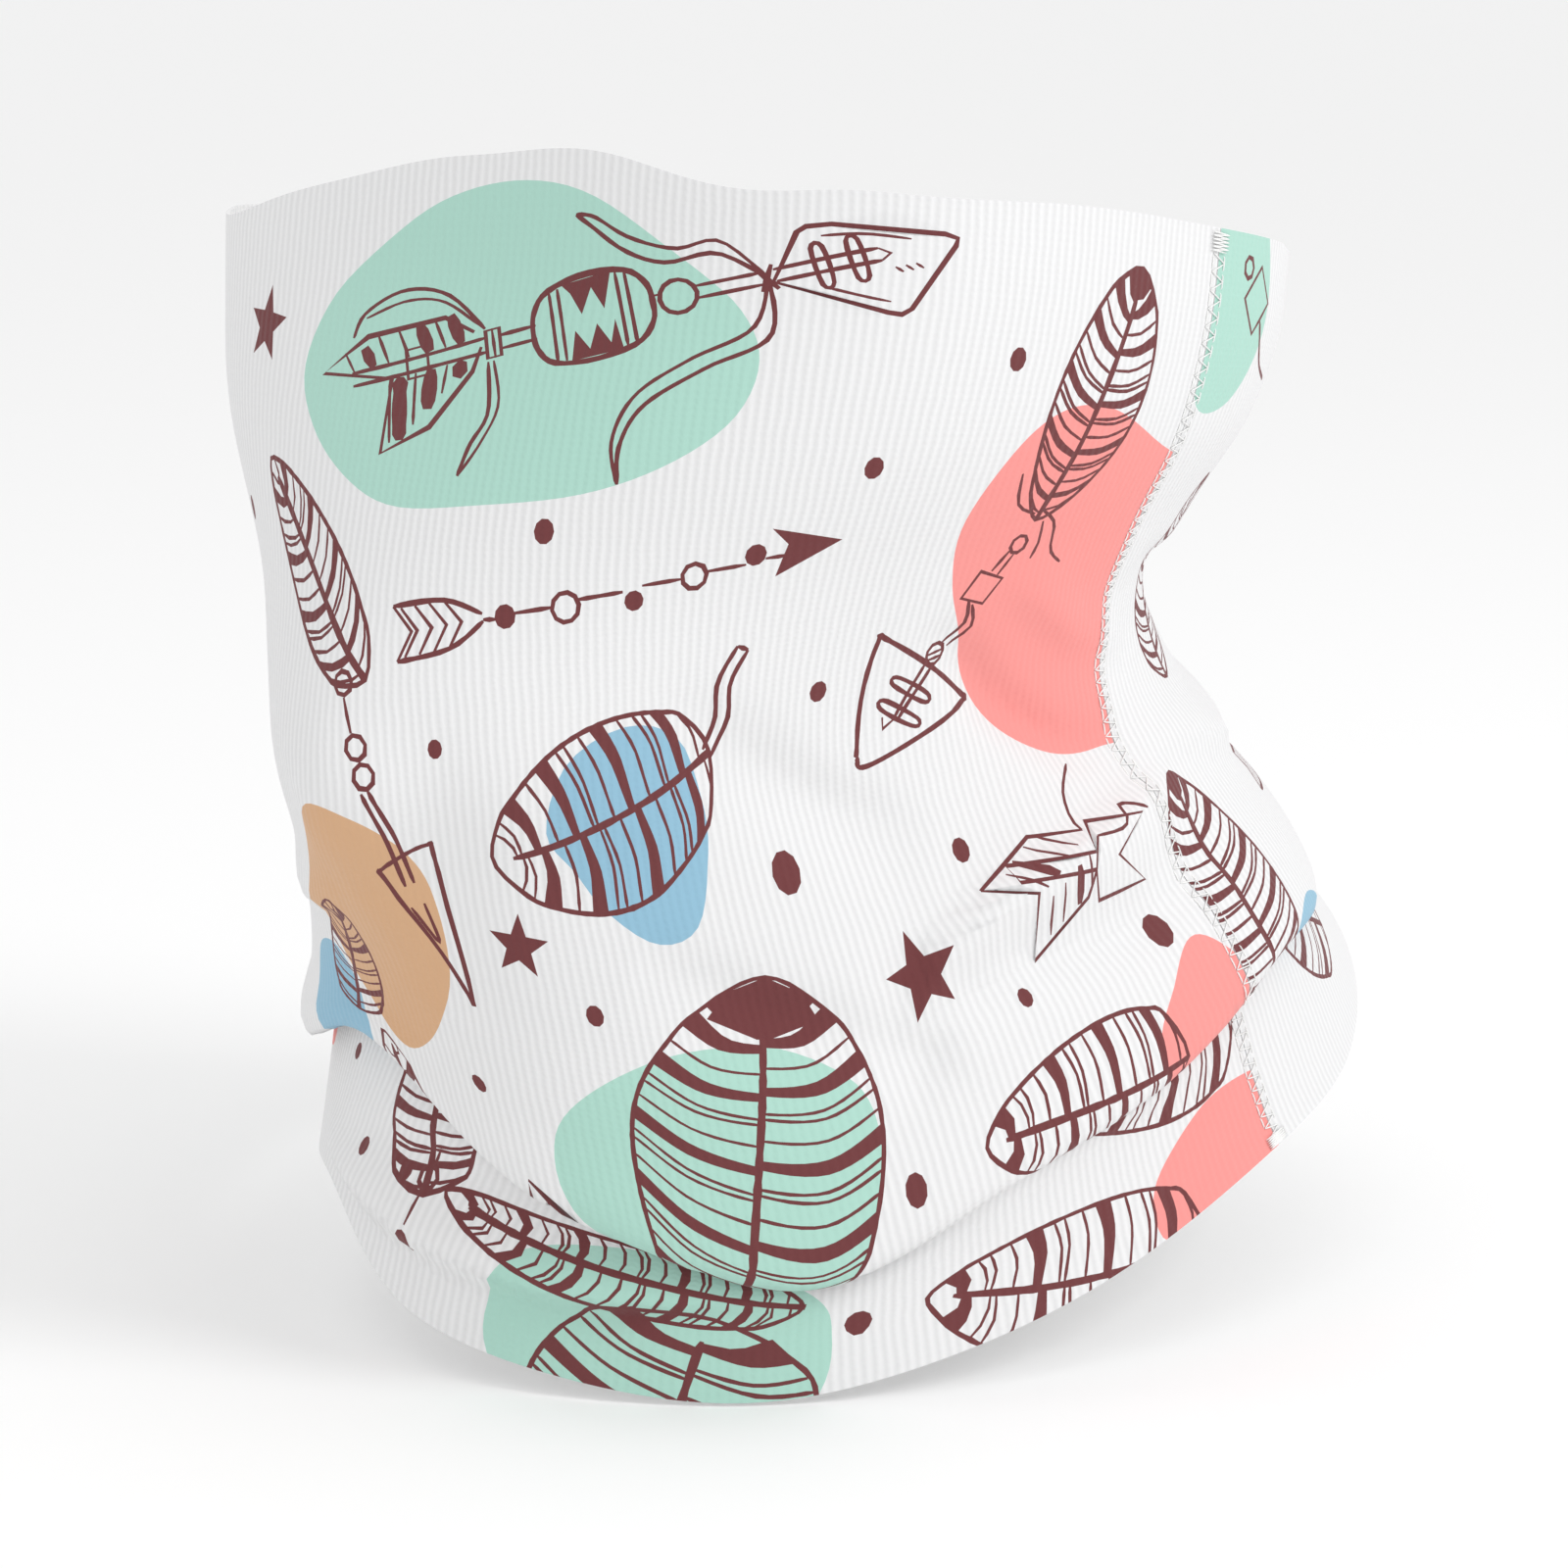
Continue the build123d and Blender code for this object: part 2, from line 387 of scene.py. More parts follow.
for y in (-1.1, 1.1):
    m.line([(53.4, y), (63, y)])
m.line([(64, 0), (58, -6), (50, -6), (44, -9), (39, -14), (37, -16)])
m.line([(64, 0), (59, -8), (52, -8), (45, -11), (40, -15), (37, -16)], 0.6)
m.line([(64, 0), (62, 10), (52, 13), (42, 17), (37, 23), (35, 30)])
m.line([(64, 0), (60, 8), (50, 11), (41, 15), (36, 22), (35, 30)], 0.6)
m.line([(62.4, -2.2), (65, 2.4)], 1.0)
m.line([(65, -2.2), (62.6, 2.4)], 1.0)
m.line([(64.5, 1), (70, -6.8), (71.5, -7.4), (75, -6.8), (90, -1.6), (91.6, -0.4), (91, 0.8), (82, 10.4),
        (80.4, 11), (78.6, 10.2), (64.5, 1)], 0.9, sharp=True)
for y in (-1.2, 1.0):
    m.line([(65, y), (80, y)])
m.line([(80, -1.2), (81.5, 0), (80, 1)], 0.6)
for x in (71, 76):
    m.line([(x, -3.4), (x + 1.6, -3.4), (x + 1.6, 3.2), (x, 3.2)], ring=True)
m.line([(73, -5.2), (79, -4.0), (85, -1.8)], 0.5)
m.line([(71, 3.6), (76, 6.6), (79.4, 8.4)], 0.5)
for x in (81.5, 83, 84.5):
    m.line([(x, 2.5), (x + 0.9, 3.6)], 0.5)

# The feather, beads and arrowhead that hang over the left cheek, on a pink spot
spot([(463, 27), (455, 33), (450, 45), (452, 57), (457, 68), (461, 78), (468, 88), (478, 95), (490, 98),
      (505, 97), (514, 70), (510, 45), (488, 33), (474, 27)], PINK)
m = leaf((465, 46), (475, 7), 20, "|#|=#|=#=|#|##", slant=0.1, round_end=1.1, blunt=0.55)
m.line([(2, 0), (0, 5), (-5, 8), (-7, 12)], 0.6)
m.line([(1, -1), (2, -6), (7, -9)], 0.6)
m.line([(0, 2), (-4, 4), (-7, 4)], 0.6)
m = Motif((465, 48), (441, 85))
m.bead(3, 0, 1.7)
for y in (-0.7, 0.7):
    m.line([(4.7, y), (9, y * 1.3)])
m.line([(9, -2.6), (14.5, -3), (15.5, 2.4), (10, 3)], ring=True, sharp=True)
m.line([(15, 0.6), (19, -3), (24, -2.5)])
m.line([(15.5, -1), (19, -5), (24, -4.2)])
m.bead(26, -2.4, 2.0)
m.line([(24.6, -4), (27, -0.8)], 0.6)
m.line([(25.6, -4.6), (27.6, -1.6)], 0.6)
for y in (-3.3, -1.5):
    m.line([(28, y), (38, y * 0.4)])
m.line([(29, 11), (27.5, 9.5), (29, -12), (31, -13), (46, 0), (46, 3), (44, 4)], 0.9, ring=True)
for x in (32, 36):
    m.line([(x, -5), (x + 1.4, -5), (x + 1.6, 2.6), (x + 0.2, 2.6)], ring=True)
m.line([(38, -0.6), (40, 0.6), (38.5, 1.6)], 0.6)

# The thin arrow with beads under the mint spot
m = Motif((359, 58), (429, 46))
m.fletch()
m.blob(18.5, 0.5, 1.7)
m.bead(28, 1.0, 2.1)
m.blob(38.5, 2.2, 1.5)
m.bead(48, 0.6, 1.9)
m.blob(57.5, -0.6, 1.7)
for a, b in ((15, 17), (20, 26), (30, 37), (40, 46), (50, 56), (59, 63)):
    m.line([(a, 0.3), (b, 0.6)], 0.6)
m.fill([(71, 0), (60, -4.2), (62.5, -1.2), (60.5, 3.6)])

# The broad leaf at the chin, half over a blue spot
spot([(382, 86), (386, 77), (397, 73), (406, 77), (409, 87), (408, 96), (404, 103), (397, 104), (390, 99),
      (386, 93)], BLUE)
m = leaf((411, 79), (373, 90), 27, "|#=|#|=#|#=", slant=0.05, round_end=0.9, bend=-1.5, blunt=0.5)
m.line([(1, 0.8), (-2, 4), (-3.5, 10), (-8, 15)], 0.8)
m.line([(0, -0.8), (-4, 3), (-5.5, 9), (-9.5, 13.6)], 0.8)
m.line([(-8, 15), (-9.5, 13.6)], 0.8)

# The tall leaf under the chin and the mint spot behind it
spot([(396, 118), (411, 118), (422, 124), (424, 131), (420, 139), (412, 146), (390, 148), (376, 143),
      (375, 133), (383, 124)], MINT)
m = leaf((393, 166), (413, 110),
         37, "#=|#=|#|=#|=#|=#|##", squeeze=0.66, slant=0.05, round_end=1.7, blunt=0.6)
m.fill([(m.length - 11, -1), (m.length - 8, -9), (m.length - 3, -6), (m.length, 0), (m.length - 3, 6),
        (m.length - 8, 9), (m.length - 11, 1)])
leaf((384, 240), (398, 195), 40, "#=|#=|#|=#|=#", slant=0.05, round_end=1.4, blunt=0.35)
spot([(368, 192), (384, 184), (404, 186), (414, 196), (408, 209), (370, 209)], MINT)

# Feather, chain and arrowhead at the right of the chin, on a peach spot
leaf((354, 64), (324, 38), 13, "|#|=#||#=|#|", slant=0.1, round_end=0.75)
m = Motif((349, 62), (364, 114), squeeze=0.9)
for x in (3, 12, 16):
    m.bead(x, 0.0, 1.7)
m.line([(5, 0.2), (10, 0.2)])
m.line([(18, 0), (26, -1.5), (36, -1)])
m.line([(18, 1.2), (26, 0), (36, 0.6)])
m.line([(30, -5.5), (31, 2.5), (34, 3.0), (57, -0.5), (57.5, -1.5), (33, -6)], 0.8, ring=True)
m.line([(40, -1), (48, 0), (40, 1.4)], 0.6)
spot([(340, 80), (350, 81), (358, 87), (362, 97), (361, 112), (354, 128), (345, 137), (338, 132), (330, 110),
      (332, 92)], PEACH)
leaf((333, 138), (338, 98), 16, "|#|=|#=|#|", slant=0.14, round_end=0.7)
leaf((352, 190), (341, 164), 17, "|#=|#|=#|#=", slant=0.06, round_end=0.7)
leaf((352, 168), (339, 139), 14, "|#=|#|=#|", slant=0.06, round_end=0.7)
spot([(318, 122), (328, 118), (334, 128), (334, 146), (326, 152), (316, 142)], BLUE)
m = Motif((366, 144), (377, 150), squeeze=0.7)
m.line([(0, -4), (3, 0), (0, 4), (9, 3.4), (9, -3.4)], ring=True, sharp=True)
for x in (4, 6.5):
    m.line([(x, -3.4), (x + 2, 0), (x, 3.4)], 0.7, sharp=True)

# The striped feather and the pendant on the band under the fold
leaf((410, 193), (355, 188), 12, "|=#|=#|=||#=|#|=#", slant=0.04, round_end=0.7, bend=1.5)
m = Motif((351, 184), (352, 199))
m.bead(4, 0, 1.6)
m.line([(0, 0), (2.4, 0)], 0.6)
m.line([(5.6, 0), (10, 0.5)], 0.6)
m.blob(12, 0.6, 1.4)

# Fletching, leaves and spots over the left shoulder
m = Motif((487, 114), (457, 108), squeeze=0.8)
m.line([(0, -6), (8, 0), (0, 6), (12, 7), (14, 1.5), (30, 1.5), (30, -1.5), (14, -1.5), (12, -7)], ring=True,
       sharp=True)
m = Motif((457, 114), (483, 105), squeeze=0.8)
m.line([(-2, -8), (4, -1.5), (-2, 8), (12, 7.5), (20, 1)], sharp=True)
m.line([(-2, -8), (12, -7.5), (20, -1)], sharp=True)
for x in (3, 6, 10, 13):
    m.line([(x, -7), (x + 3, -1)], 1.6 if x == 6 else 0.5)
    m.line([(x, 7), (x + 3, 1)], 1.6 if x == 10 else 0.5)
m.line([(20, 1), (26, 5), (30, 3), (33, 8)], 0.6)
m.line([(20, -1), (24, -7), (30, -9)], 0.6)
leaf((477, 143), (439, 138), 25, "|#=|#|=#|=#", squeeze=0.8, slant=0.04, round_end=0.62)
leaf((494, 178), (446, 170), 24, "|#=|#|=#|=#", slant=0.04, round_end=0.62)
leaf((474, 211), (428, 197), 25, "|#=|#|=#|=#", slant=0.04, round_end=0.62)
spot([(472, 142), (480, 133), (489, 130), (497, 142), (500, 160), (494, 176), (484, 164)], PINK)
spot([(467, 198), (474, 191), (484, 188), (497, 191), (503, 199), (495, 209), (470, 209)], PINK)
leaf((3, 150), (2, 108), 26, "##|=#|=#=|#|##", slant=0.1, round_end=0.75)

# Behind the seam: the mint spot with its beads
spot([(-6, 0), (8, -4), (14, 6), (13, 18), (6, 27), (-4, 27), (-10, 12)], MINT)
m = Motif((4, 4), (24, 26))
m.bead(1, 0, 1.6)
m.line([(4, -4), (11, -4), (11, 3.4), (4, 3.4)], ring=True, sharp=True)
m.line([(11, 0), (20, 1), (28, -3)])
leaf((22, 96), (20, 44), 18, "|#|=#||#=|#|=|#", slant=0.1, round_end=0.75)
spot([(10, 148), (24, 140), (36, 150), (34, 172), (18, 178), (8, 166)], BLUE)
leaf((44, 190), (8, 158), 24, "|#=|#|=#|=#", slant=0.04, round_end=0.62)

# The all-over print goes on round the back of the head
for u, v, colour in ((76, 34, PINK), (120, 96, MINT), (176, 30, BLUE), (226, 84, PEACH), (276, 36, MINT),
                     (92, 178, PEACH), (158, 170, PINK), (232, 176, MINT), (288, 170, PINK)):
    spot([(u + 19 * math.cos(a) * (1 + 0.15 * math.sin(3 * a + u)),
           v + 20 * math.sin(a) * (1 + 0.12 * math.cos(2 * a + v)))
          for a in (k * math.pi / 5 for k in range(10))], colour)
leaf((70, 60), (88, 14), 22, "|#=|#|=#|=#", slant=0.06, round_end=0.62, stem=6)
leaf((140, 84), (106, 112), 24, "|#=|#|=#|=#", slant=0.04, round_end=0.62, stem=6)
leaf((160, 56), (184, 10), 15, "|#|=#||#=|#|=|#", slant=0.1, round_end=0.75, stem=4)
leaf((212, 104), (240, 64), 22, "|#=|#|=#|=#", slant=0.05, round_end=0.62, stem=5)
leaf((262, 52), (292, 14), 18, "|#|=#||#=|#|=|#", slant=0.08, round_end=0.75, stem=5)
leaf((80, 198), (106, 160), 22, "|#=|#|=#|=#", slant=0.05, round_end=0.62, stem=5)
leaf((176, 192), (146, 150), 18, "|#|=#||#=|#|=|#", slant=0.08, round_end=0.75, stem=5)
leaf((222, 200), (244, 150), 24, "|#=|#|=#|=#", slant=0.05, round_end=0.62, stem=5)
leaf((302, 150), (276, 196), 20, "|#=|#|=#|=#", slant=0.05, round_end=0.62, stem=5)
for start, end in (((96, 82), (160, 70)), ((186, 130), (252, 118)), ((40, 122), (100, 134)),
                   ((248, 108), (306, 96)), ((112, 30), (146, 8)), ((206, 14), (238, 48))):
    m = Motif(start, end)
    m.fletch()
    m.line([(15, 0), (m.length - 10, 0)], 0.7)
    m.blob(m.length * 0.45, 0, 1.7)
    m.fill([(m.length, 0), (m.length - 11, -4.2), (m.length - 8.5, -1.2), (m.length - 10.5, 3.6)])

for u, v, size, turn in ((320, 20, 5.5, -84), (375, 103, 5.0, -80), (438, 116, 6.0, -96), (56, 92, 5, -90),
                         (140, 134, 5, -80), (200, 150, 6, -100), (244, 26, 5, -86), (296, 72, 5, -94)):
    star(u, v, size, turn)
for u, v, size in ((383, 44, 1.6), (431, 35, 1.5), (451, 20, 1.5), (430, 73, 1.6), (365, 73, 1.2),
                   (421, 99, 2.5),
                   (452, 103, 1.6), (385, 113, 1.4), (363, 130, 1.3), (323, 179, 1.2), (483, 126, 2.4),
                   (453, 124, 1.2), (427, 138, 1.7), (418, 198, 2.0), (336, 190, 1.2), (347, 189, 1.2),
                   (48, 52, 1.8), (60, 150, 1.6), (112, 62, 1.6), (130, 190, 1.8), (150, 110, 1.5),
                   (196, 96, 2.0),
                   (206, 60, 1.6), (268, 68, 1.6), (262, 140, 1.8), (300, 120, 1.5), (310, 46, 1.6)):
    dot(u, v, size)

# The panel is cut through the print, meshed as one closed layer of cloth, and
# rolled up: outer face, inner face a cloth's thickness behind it, and the cut
# edges between them
CUT = 0.15                  # each cut edge stops this short of the seam's middle
columns = np.linspace(CUT, GIRTH - CUT, 181)
# rows lie closer together from the fold down, and every second one is shifted
rows = np.interp(np.linspace(0, 1, 101), [0, 0.46, 0.72, 1], [0, 118, 176, LENGTH])
SHIFT = 1.3
flat, lines = [], []


def ring_of(points):
    """Adds the lines of a closed outline to the flat panel."""
    first, count = len(flat), len(points)
    flat.extend(Vector((u, -v)) for u, v in points)
    lines.extend((first + k, first + (k + 1) % count) for k in range(count))


panel_edge = [(u, 0.0) for u in columns] + [(columns[-1], v) for v in rows[1:]]
panel_edge += [(u, LENGTH) for u in columns[-2::-1]] + [(columns[0], v) for v in rows[-2:0:-1]]
ring_of(panel_edge)
drawn = [(colour, np.array(points) + (PRINT_START, 0.0)) for colour, points in drawn]
for _, points in drawn:
    ring_of(points)
for j, v in enumerate(rows[1:-1]):
    for u in columns[1:-2]:
        flat.append(Vector((u + (SHIFT if j % 2 else 0.0), -v)))
points_2d, _, triangles, _, _, _ = geometry.delaunay_2d_cdt(flat, lines, [], 0, 1e-4, False)
around = np.array([p[0] for p in points_2d])
down = -np.array([p[1] for p in points_2d])
triangles = np.array(triangles)

# each triangle takes the colour of the topmost printed shape that its middle lies in
middle_u, middle_v = around[triangles].mean(1), down[triangles].mean(1)
corner_u, corner_v = around[triangles], down[triangles]
area = ((corner_u[:, 1] - corner_u[:, 0]) * (corner_v[:, 2] - corner_v[:, 0])
        - (corner_u[:, 2] - corner_u[:, 0]) * (corner_v[:, 1] - corner_v[:, 0]))
kept = ((middle_u > CUT) & (middle_u < GIRTH - CUT) & (middle_v > 0) & (middle_v < LENGTH)
        & (np.abs(area) > 1e-7))
triangles, middle_u, middle_v = triangles[kept], middle_u[kept], middle_v[kept]
order = np.argsort(middle_u)
triangles, middle_u, middle_v = triangles[order], middle_u[order], middle_v[order]
colours = np.full(len(triangles), CLOTH_WHITE)
for colour, points in drawn:
    following = np.roll(points, -1, axis=0)
    low, high = np.searchsorted(middle_u, (points[:, 0].min(), points[:, 0].max()))
    level = middle_v[low:high]
    near = low + np.flatnonzero((level > points[:, 1].min()) & (level < points[:, 1].max()))
    u, v = middle_u[near, None], middle_v[near, None]
    crosses = (points[:, 1] > v) != (following[:, 1] > v)
    rise = np.where(following[:, 1] == points[:, 1], 1.0, following[:, 1] - points[:, 1])
    reach = points[:, 0] + (v - points[:, 1]) * (following[:, 0] - points[:, 0]) / rise
    inside = near[(crosses & (u < reach)).sum(1) % 2 == 1]
    colours[inside] = np.maximum(colours[inside], colour)
colours = colours.tolist()

used = np.unique(triangles)
renumber = np.full(len(around), -1)
renumber[used] = np.arange(len(used))
triangles = renumber[triangles]
around, down = around[used], np.clip(down[used], 0.0, LENGTH)
out = on_shape(around, down, outward)
out /= np.linalg.norm(out, axis=1, keepdims=True)
outer = on_shape(around, down)
inner = outer - out * CLOTH
count = len(outer)
directed = np.concatenate([triangles[:, (0, 1)], triangles[:, (1, 2)], triangles[:, (2, 0)]])
known = set(map(tuple, directed.tolist()))
rim = [(b, a, a + count, b + count) for a, b in known if (b, a) not in known]
faces = triangles.tolist() + (triangles[:, ::-1] + count).tolist() + rim

mesh = bpy.data.meshes.new("knit_tube")
mesh.from_pydata((np.concatenate([outer, inner]) / 1000.0).tolist(), [], faces)
knit = bpy.data.objects.new("gaiter_knit_panel", mesh)
bpy.context.scene.collection.objects.link(knit)
loops = np.zeros(len(mesh.loops), int)
mesh.loops.foreach_get("vertex_index", loops)
uv = np.stack([around / GIRTH, 1.0 - down / LENGTH], 1)
mesh.uv_layers.new(name="cloth").data.foreach_set("uv", np.tile(uv, (2, 1))[loops].ravel())
both = np.concatenate([out, -out])
turned = both[loops]
turned[len(triangles) * 6:] = 0.0
mesh.polygons.foreach_set("use_smooth", [True] * (2 * len(triangles)) + [False] * len(rim))
inside_colours = [INK + 1 + colour for colour in colours]
mesh.polygons.foreach_set("material_index", colours + inside_colours + [CLOTH_WHITE] * len(rim))
mesh.normals_split_custom_set(turned.tolist())

# Fine rib knit, used by every colour of the cloth: ribs 1.5 mm apart that run
# down the tube, the loops along them, and the fuzz of the yarn, and a mask of the
# hollows between the ribs, where some colours get painted shade
rib = bpy.data.node_groups.new("fine_rib_knit", "ShaderNodeTree")
for name, value in (("Rib pitch", 1.5), ("Loop pitch", 1.0), ("Fuzz", 0.25)):
    rib.interface.new_socket(name, in_out="INPUT", socket_type="NodeSocketFloat").default_value = value
for name in ("Height", "Rough", "Valley shade"):
    rib.interface.new_socket(name, in_out="OUTPUT", socket_type="NodeSocketFloat")


def knot(tree, kind, links, **values):
    """One node in a tree, with its inputs linked or set by number and its properties set by name."""
    node = tree.nodes.new(kind)
    for name, value in values.items():
        setattr(node, name, value)
    for number, value in links.items():
        if isinstance(value, bpy.types.NodeSocket):
            tree.links.new(value, node.inputs[number])
        else:
            node.inputs[number].default_value = value
    return node.outputs[0]


given = rib.nodes.new("NodeGroupInput")
result = rib.nodes.new("NodeGroupOutput")
sheet_uv = knot(rib, "ShaderNodeUVMap", {}, uv_map="cloth")
in_mm = knot(rib, "ShaderNodeVectorMath", {0: sheet_uv, 1: (GIRTH, LENGTH, 1.0)}, operation="MULTIPLY")
fuzz = knot(rib, "ShaderNodeTexNoise", {0: in_mm, 2: 2.6, 3: 3.0})
wander = knot(rib, "ShaderNodeTexNoise", {0: in_mm, 2: 0.22, 3: 1.0})
split = rib.nodes.new("ShaderNodeSeparateXYZ")
rib.links.new(in_mm, split.inputs[0])
shifted = knot(rib, "ShaderNodeMath", {0: wander, 1: 0.5, 2: split.outputs[0]}, operation="MULTIPLY_ADD")
per_rib = knot(rib, "ShaderNodeMath", {0: shifted, 1: given.outputs["Rib pitch"]}, operation="DIVIDE")
rib_turn = knot(rib, "ShaderNodeMath", {0: per_rib, 1: 2 * math.pi}, operation="MULTIPLY")
rib_wave = knot(rib, "ShaderNodeMath", {0: rib_turn}, operation="SINE")
rib_height = knot(rib, "ShaderNodeMath", {0: rib_wave, 1: 0.5, 2: 0.5}, operation="MULTIPLY_ADD")
per_loop = knot(rib, "ShaderNodeMath", {0: split.outputs[1], 1: given.outputs["Loop pitch"]},
                operation="DIVIDE")
loop_turn = knot(rib, "ShaderNodeMath", {0: per_loop, 1: 2 * math.pi, 2: rib_wave}, operation="MULTIPLY_ADD")
loop_wave = knot(rib, "ShaderNodeMath", {0: loop_turn}, operation="SINE")
loop_height = knot(rib, "ShaderNodeMath", {0: loop_wave, 1: 0.14, 2: rib_height}, operation="MULTIPLY_ADD")
height = knot(rib, "ShaderNodeMath", {0: fuzz, 1: given.outputs["Fuzz"], 2: loop_height},
              operation="MULTIPLY_ADD")
rough = knot(rib, "ShaderNodeMath", {0: fuzz, 1: 0.2, 2: 0.68}, operation="MULTIPLY_ADD")
# mask of the hollows between the ribs, used to paint shade into them
valley_shade_mask = knot(rib, "ShaderNodeMath", {0: rib_height, 1: -1.0, 2: 1.0}, operation="MULTIPLY_ADD")
rib.links.new(height, result.inputs["Height"])
rib.links.new(rough, result.inputs["Rough"])
rib.links.new(valley_shade_mask, result.inputs["Valley shade"])


def knit_colour(name, colour, valley_shade_colour=None):
    """Rib knit of one colour. With a valley colour it is darker down between its ribs: painted shade in the
    hollows of the knit.
    """
    made = bpy.data.materials.new(name)
    made.use_nodes = True
    tree = made.node_tree
    shader = tree.nodes["Principled BSDF"]
    shader.inputs["Base Color"].default_value = (*colour, 1.0)
    shader.inputs["Sheen Weight"].default_value = 0.12
    shader.inputs["Sheen Roughness"].default_value = 0.5
    shader.inputs["Specular IOR Level"].default_value = 0.25
    group = tree.nodes.new("ShaderNodeGroup")
    group.node_tree = rib
    bump = tree.nodes.new("ShaderNodeBump")
    bump.inputs["Strength"].default_value = 0.35
    bump.inputs["Distance"].default_value = 0.00022
    tree.links.new(group.outputs["Height"], bump.inputs["Height"])
    tree.links.new(bump.outputs["Normal"], shader.inputs["Normal"])
    tree.links.new(group.outputs["Rough"], shader.inputs["Roughness"])
    # painted shade: the valley colour darkens the hollows between the ribs
    if valley_shade_colour:
        mix = tree.nodes.new("ShaderNodeMix")
        mix.data_type = "RGBA"
        mix.inputs[6].default_value = (*colour, 1.0)
        mix.inputs[7].default_value = (*valley_shade_colour, 1.0)
        tree.links.new(group.outputs["Valley shade"], mix.inputs[0])
        tree.links.new(mix.outputs[2], shader.inputs["Base Color"])
    return made


DYES = {"white": (0.80, 0.80, 0.805), "peach": (0.64, 0.39, 0.225), "blue": (0.27, 0.48, 0.62),
        "pink": (0.86, 0.295, 0.275), "mint": (0.40, 0.65, 0.56), "ink": (0.155, 0.040, 0.042)}
for name, colour in DYES.items():
    # the outer white cloth is darkened between its ribs as painted shade
    white_valley_shade = tuple(c * 0.90 for c in colour) if name == "white" else None
    mesh.materials.append(knit_colour("knit_" + name, colour, white_valley_shade))
for name, colour in DYES.items():
    # the dye barely shows through to the inner face
    pale = tuple(0.86 * (0.88 + 0.12 * c) for c in colour)
    # the inner face is darkened between its ribs as painted shade
    mesh.materials.append(knit_colour("knit_inside_" + name, pale, tuple(c * 0.93 for c in pale)))
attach(knit, "root")
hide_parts("knit_tube")

# ---------------------------------------------------------------------------
# Flat seam, sewn where the two cut edges meet: two rows of needle stitches, a
# cover thread that zigzags between them outside, a looper thread that does the
# same inside, and a bar tack over each end of the seam.

NEEDLE_GAP = 3.2            # millimetres between the two rows of needle stitches
STITCH = 2.6
FROM_EDGE = 3.5             # the stitches start and stop this far from the rim and the hem
NEEDLE_RADIUS, ZIGZAG_RADIUS = 0.13, 0.12
SIDES = 6                   # faces round a thread
TACK_HALF, TACK_PITCH, TACK_FROM, TACK_TO = 2.4, 0.5, 0.6, 3.2
ABOVE_CLOTH, CROWN = 0.1, 0.08      # height of the zigzags out of the cloth, and of their middles over that
TACK_ABOVE, TACK_CROWN = 0.22, 0.12
thread = bpy.data.materials.new("white_sewing_thread")
thread.use_nodes = True
tree = thread.node_tree
shader = tree.nodes["Principled BSDF"]
shader.inputs["Base Color"].default_value = (0.88, 0.88, 0.87, 1.0)
shader.inputs["Sheen Weight"].default_value = 0.2
where = tree.nodes.new("ShaderNodeTexCoord").outputs["Object"]
twist = knot(tree, "ShaderNodeTexWave", {0: where, 1: 2600.0, 2: 1.5}, bands_direction="DIAGONAL")
bump = tree.nodes.new("ShaderNodeBump")
bump.inputs["Strength"].default_value = 0.5
bump.inputs["Distance"].default_value = 0.00005
tree.links.new(twist, bump.inputs["Height"])
tree.links.new(bump.outputs["Normal"], shader.inputs["Normal"])
rough = knot(tree, "ShaderNodeMath", {0: twist, 1: 0.15, 2: 0.6}, operation="MULTIPLY_ADD")
tree.links.new(rough, shader.inputs["Roughness"])


def sew(name, node, runs, radius):
    """One thread as closed round strands. Each run is its points round, down and out of the cloth."""
    verts, faces = [], []
    for run in runs:
        run = np.array(run, float)
        middle = on_shape(run[:, 0], run[:, 1]) + on_shape(run[:, 0], run[:, 1], outward) * run[:, 2:]
        ahead = np.gradient(middle, axis=0)
        ahead /= np.linalg.norm(ahead, axis=1, keepdims=True)
        up = on_shape(run[:, 0], run[:, 1], outward)
        side = np.cross(ahead, up)
        side /= np.linalg.norm(side, axis=1, keepdims=True)
        up = np.cross(side, ahead)
        first = len(verts)
        for k, centre in enumerate(middle):
            fat = radius * (0.5 if k in (0, len(middle) - 1) else 1.0)
            for s in range(SIDES):
                a = 2 * math.pi * s / SIDES
                verts.append((centre + fat * (side[k] * math.cos(a) + up[k] * math.sin(a))) / 1000.0)
        for k in range(len(middle) - 1):
            for s in range(SIDES):
                a, b = first + k * SIDES + s, first + k * SIDES + (s + 1) % SIDES
                faces.append((a, a + SIDES, b + SIDES, b))
        last = first + (len(middle) - 1) * SIDES
        faces.append(tuple(range(first, first + SIDES)))
        faces.append(tuple(range(last + SIDES - 1, last - 1, -1)))
    strand_mesh = bpy.data.meshes.new(name)
    strand_mesh.from_pydata([tuple(v) for v in verts], [], faces)
    strand_mesh.shade_smooth()
    strand_mesh.materials.append(thread)
    strand = bpy.data.objects.new(name, strand_mesh)
    bpy.context.scene.collection.objects.link(strand)
    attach(strand, "root")
    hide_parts(node)


stitches = np.arange(FROM_EDGE, LENGTH - FROM_EDGE - STITCH, STITCH)
for name, node, place in (("seam_needle_stitches_front", "seam_needle_thread_front", -NEEDLE_GAP / 2),
                          ("seam_needle_stitches_rear", "seam_needle_thread_rear", NEEDLE_GAP / 2)):
    rise = ((0.15, -0.1), (0.5, 0.08), (1.3, 0.12), (2.1, 0.08), (2.45, -0.1))
    sew(name, node, [[(place, v + d, h) for d, h in rise] for v in stitches], NEEDLE_RADIUS)


def zigzag(half, start, end, pitch, high, lift):
    """Points of a thread that crosses the seam to and fro, highest in the middle of each crossing."""
    points, side, v = [], 1.0, start
    while v < end:
        for t, h in ((0.0, 0.0), (0.15, 0.7), (0.5, 1.0), (0.85, 0.7)):
            points.append((side * half * (2 * t - 1), v + t * pitch / 2, high + lift * h))
        side, v = -side, v + pitch / 2
    return points


